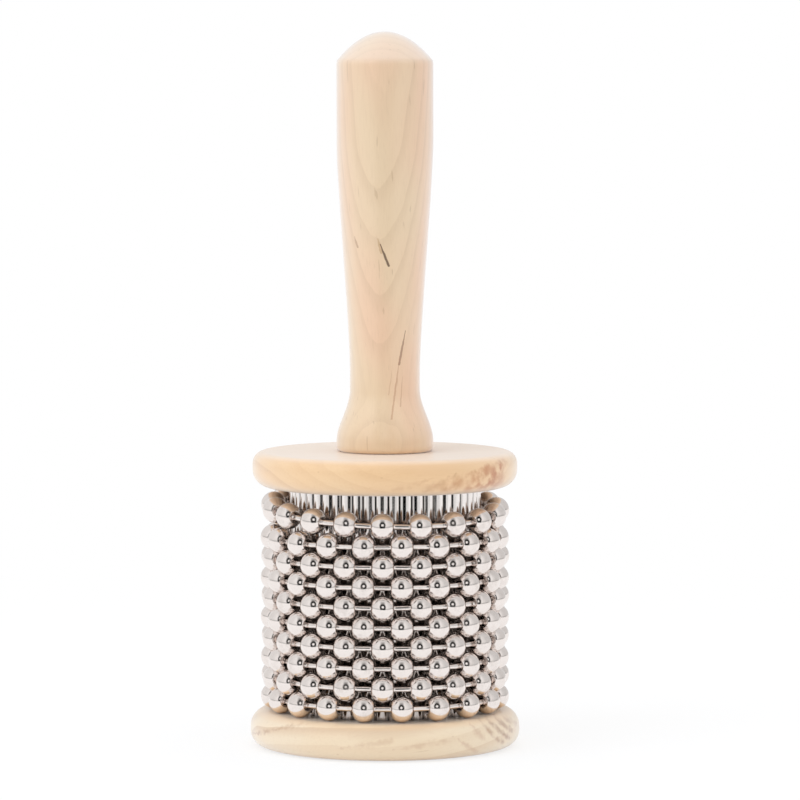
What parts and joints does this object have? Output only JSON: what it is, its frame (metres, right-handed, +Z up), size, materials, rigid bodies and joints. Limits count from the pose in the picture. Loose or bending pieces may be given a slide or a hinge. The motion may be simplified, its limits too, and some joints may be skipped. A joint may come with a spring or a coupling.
{
  "type": "cabasa",
  "caption": "Hand percussion instrument: a turned wooden handle on a ribbed steel drum between two wooden discs, with loose loops of steel ball chain that turn round the drum.",
  "frame": {"origin": "middle of the flat lower face of the bottom disc, on which it stands", "axes": "+Z up along the handle's axis, the front of the picture towards -Y"},
  "size_m": [0.0678, 0.0678, 0.179],
  "materials": {
    "handle_wood": "satin",
    "top_disc_wood": "satin",
    "bottom_disc_wood": "satin",
    "core_wood": "raw",
    "dowel_wood": "raw",
    "sleeve_steel": "bright rolled",
    "bead_metal": "polished nickel plate",
    "link_metal": "polished nickel plate",
    "screw_steel": "zinc plated"
  },
  "bodies": {
    "drum": {"handle": "handle_wood", "top_disc": "top_disc_wood", "bottom_disc": "bottom_disc_wood", "drum_core": "core_wood", "ribbed_sleeve": "sleeve_steel", "draw_screw": "screw_steel", "screw_washer": "screw_steel", "upper_dowels": "dowel_wood", "lower_dowels": "dowel_wood"},
    "chain_01": {"chain_01_beads": "bead_metal", "chain_01_links": "link_metal"},
    "chain_02": {"chain_02_beads": "bead_metal", "chain_02_links": "link_metal"},
    "chain_03": {"chain_03_beads": "bead_metal", "chain_03_links": "link_metal"},
    "chain_04": {"chain_04_beads": "bead_metal", "chain_04_links": "link_metal"},
    "chain_05": {"chain_05_beads": "bead_metal", "chain_05_links": "link_metal"},
    "chain_06": {"chain_06_beads": "bead_metal", "chain_06_links": "link_metal"},
    "chain_07": {"chain_07_beads": "bead_metal", "chain_07_links": "link_metal"},
    "chain_08": {"chain_08_beads": "bead_metal", "chain_08_links": "link_metal"},
    "chain_09": {"chain_09_beads": "bead_metal", "chain_09_links": "link_metal"},
    "chain_10": {"chain_10_beads": "bead_metal", "chain_10_links": "link_metal"}
  },
  "joints": [
    {"name": "chain_01_turn", "type": "hinge", "parent": "drum", "child": "chain_01", "pos_m": [0, 0, 0.037], "axis": [0, 0, 1], "continuous": true},
    {"name": "chain_02_turn", "type": "hinge", "parent": "drum", "child": "chain_02", "pos_m": [0, 0, 0.037], "axis": [0, 0, 1], "continuous": true},
    {"name": "chain_03_turn", "type": "hinge", "parent": "drum", "child": "chain_03", "pos_m": [0, 0, 0.037], "axis": [0, 0, 1], "continuous": true},
    {"name": "chain_04_turn", "type": "hinge", "parent": "drum", "child": "chain_04", "pos_m": [0, 0, 0.037], "axis": [0, 0, 1], "continuous": true},
    {"name": "chain_05_turn", "type": "hinge", "parent": "drum", "child": "chain_05", "pos_m": [0, 0, 0.037], "axis": [0, 0, 1], "continuous": true},
    {"name": "chain_06_turn", "type": "hinge", "parent": "drum", "child": "chain_06", "pos_m": [0, 0, 0.037], "axis": [0, 0, 1], "continuous": true},
    {"name": "chain_07_turn", "type": "hinge", "parent": "drum", "child": "chain_07", "pos_m": [0, 0, 0.037], "axis": [0, 0, 1], "continuous": true},
    {"name": "chain_08_turn", "type": "hinge", "parent": "drum", "child": "chain_08", "pos_m": [0, 0, 0.037], "axis": [0, 0, 1], "continuous": true},
    {"name": "chain_09_turn", "type": "hinge", "parent": "drum", "child": "chain_09", "pos_m": [0, 0, 0.037], "axis": [0, 0, 1], "continuous": true},
    {"name": "chain_10_turn", "type": "hinge", "parent": "drum", "child": "chain_10", "pos_m": [0, 0, 0.037], "axis": [0, 0, 1], "continuous": true}
  ],
  "couplings": [
    {"joint": "chain_02_turn", "follows": "chain_01_turn", "ratio": 1},
    {"joint": "chain_03_turn", "follows": "chain_01_turn", "ratio": 1},
    {"joint": "chain_04_turn", "follows": "chain_01_turn", "ratio": 1},
    {"joint": "chain_05_turn", "follows": "chain_01_turn", "ratio": 1},
    {"joint": "chain_06_turn", "follows": "chain_01_turn", "ratio": 1},
    {"joint": "chain_07_turn", "follows": "chain_01_turn", "ratio": 1},
    {"joint": "chain_08_turn", "follows": "chain_01_turn", "ratio": 1},
    {"joint": "chain_09_turn", "follows": "chain_01_turn", "ratio": 1},
    {"joint": "chain_10_turn", "follows": "chain_01_turn", "ratio": 1}
  ]
}
